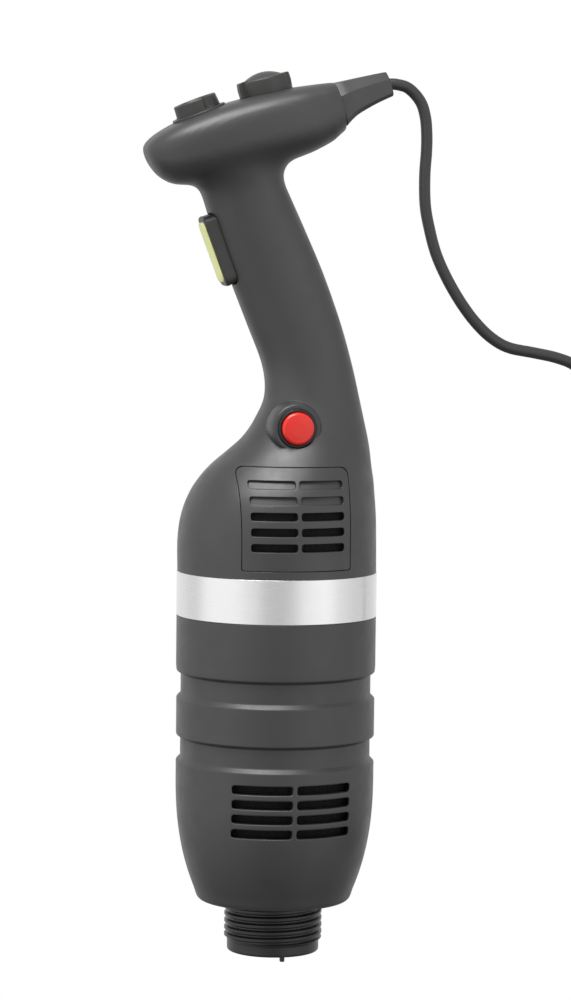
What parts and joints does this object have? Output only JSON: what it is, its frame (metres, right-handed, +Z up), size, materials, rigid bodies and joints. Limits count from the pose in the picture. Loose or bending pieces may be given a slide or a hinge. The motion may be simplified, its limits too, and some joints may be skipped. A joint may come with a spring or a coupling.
{
  "type": "stick blender motor unit",
  "caption": "Hand-held stick blender motor unit: curved grip with trigger, lock button and speed dial above a vented motor barrel with a screw coupling.",
  "frame": {"origin": "centre of the threaded collar's lower end face, on the motor axis", "axes": "+Z up along the motor axis, towards the grip; -X to the front, the trigger side; +X to the rear, where the mains lead leaves; -Y is the side with the red lock button"},
  "size_m": [0.3208, 0.1476, 0.4432],
  "materials": {
    "housing": "fine spark-eroded texture, dark grey",
    "controls": "moulded, near black",
    "band": "circumferentially brushed stainless steel",
    "thread": "glass-filled nylon, slightly glossy on the crests",
    "black_plastic": "black moulded plastic",
    "red_cap": "glossy red",
    "lime_insert": "soft lime-green elastomer",
    "cord_pvc": "satin rubber sheath",
    "seal_rubber": "nitrile rubber",
    "zinc_screw": "zinc-plated steel",
    "shaft_steel": "ground steel",
    "bearing_steel": "polished bearing steel",
    "lamination": "stacked electrical steel",
    "copper": "enamelled copper",
    "brass": "plain brass",
    "die_cast": "die-cast aluminium",
    "spring_steel": "spring steel",
    "carbon": "graphite, modelled as dark matt material",
    "pcb": "solder-masked board",
    "white_nylon": "natural nylon",
    "fan_plastic": "moulded nylon"
  },
  "bodies": {
    "housing": {"shell_near": "housing", "shell_far": "housing", "inlet_panel_near": "housing", "inlet_panel_far": "housing", "shell_screws": "zinc_screw", "steel_band": "band", "barrel": "housing", "threaded_collar": "thread", "collar_screws": "zinc_screw", "shaft_seal": "seal_rubber", "strain_relief": "housing", "cord_clamp": "black_plastic", "terminal_block": "white_nylon", "inner_lead": "cord_pvc", "trigger_guide": "black_plastic", "trigger_spring": "spring_steel", "trigger_switch": "black_plastic", "lock_ring": "black_plastic", "lock_spring": "spring_steel", "lock_switch": "black_plastic", "push_bezel": "controls", "push_spring": "spring_steel", "push_switch": "black_plastic", "dial_potentiometer": "black_plastic", "dial_nut": "zinc_screw", "control_board": "pcb", "board_spacers": "brass", "heat_sink": "die_cast", "board_parts": "black_plastic", "wiring": "cord_pvc", "stator_core": "lamination", "field_coils": "copper", "stator_screws": "zinc_screw", "lower_shield": "die_cast", "shield_screws": "zinc_screw", "upper_bridge": "die_cast", "bridge_screws": "zinc_screw", "bearing_outer_rings": "bearing_steel", "brush_holders": "brass", "carbon_brushes": "carbon", "brush_springs": "spring_steel", "mains_cord": "cord_pvc", "cord_coil": "cord_pvc", "cord_tie": "black_plastic", "plug_body": "black_plastic", "plug_pins": "shaft_steel"},
    "trigger": {"trigger_key": "controls", "trigger_insert": "lime_insert"},
    "lock": {"lock_button": "red_cap"},
    "push": {"push_button": "controls"},
    "dial": {"speed_dial": "controls", "dial_shaft": "shaft_steel"},
    "rotor": {"armature_core": "lamination", "armature_windings": "copper", "commutator": "copper", "motor_shaft": "shaft_steel", "cooling_fan": "fan_plastic", "drive_coupling": "die_cast", "bearing_inner_rings": "bearing_steel", "bearing_balls": "bearing_steel"}
  },
  "joints": [
    {"name": "trigger_slide", "type": "slide", "parent": "housing", "child": "trigger", "axis": [0.9361, 0, 0.3518], "range_m": [0, 0.004], "stiffness_N_per_m": 900, "springref_m": -0.001, "deforming": ["trigger_spring"]},
    {"name": "lock_slide", "type": "slide", "parent": "housing", "child": "lock", "axis": [0, 1, 0], "range_m": [0, 0.003], "stiffness_N_per_m": 700, "springref_m": -0.00075, "deforming": ["lock_spring"]},
    {"name": "push_slide", "type": "slide", "parent": "housing", "child": "push", "axis": [0.3681, 0, -0.9298], "range_m": [0, 0.0025], "stiffness_N_per_m": 700, "springref_m": -0.00063, "deforming": ["push_spring"]},
    {"name": "dial_turn", "type": "hinge", "parent": "housing", "child": "dial", "pos_m": [-0.00804, 0, 0.42976], "axis": [-0.2605, 0, 0.9655], "range_deg": [0, 270]},
    {"name": "rotor_spin", "type": "hinge", "parent": "housing", "child": "rotor", "pos_m": [0, 0, 0.1], "axis": [0, 0, 1], "continuous": true}
  ]
}
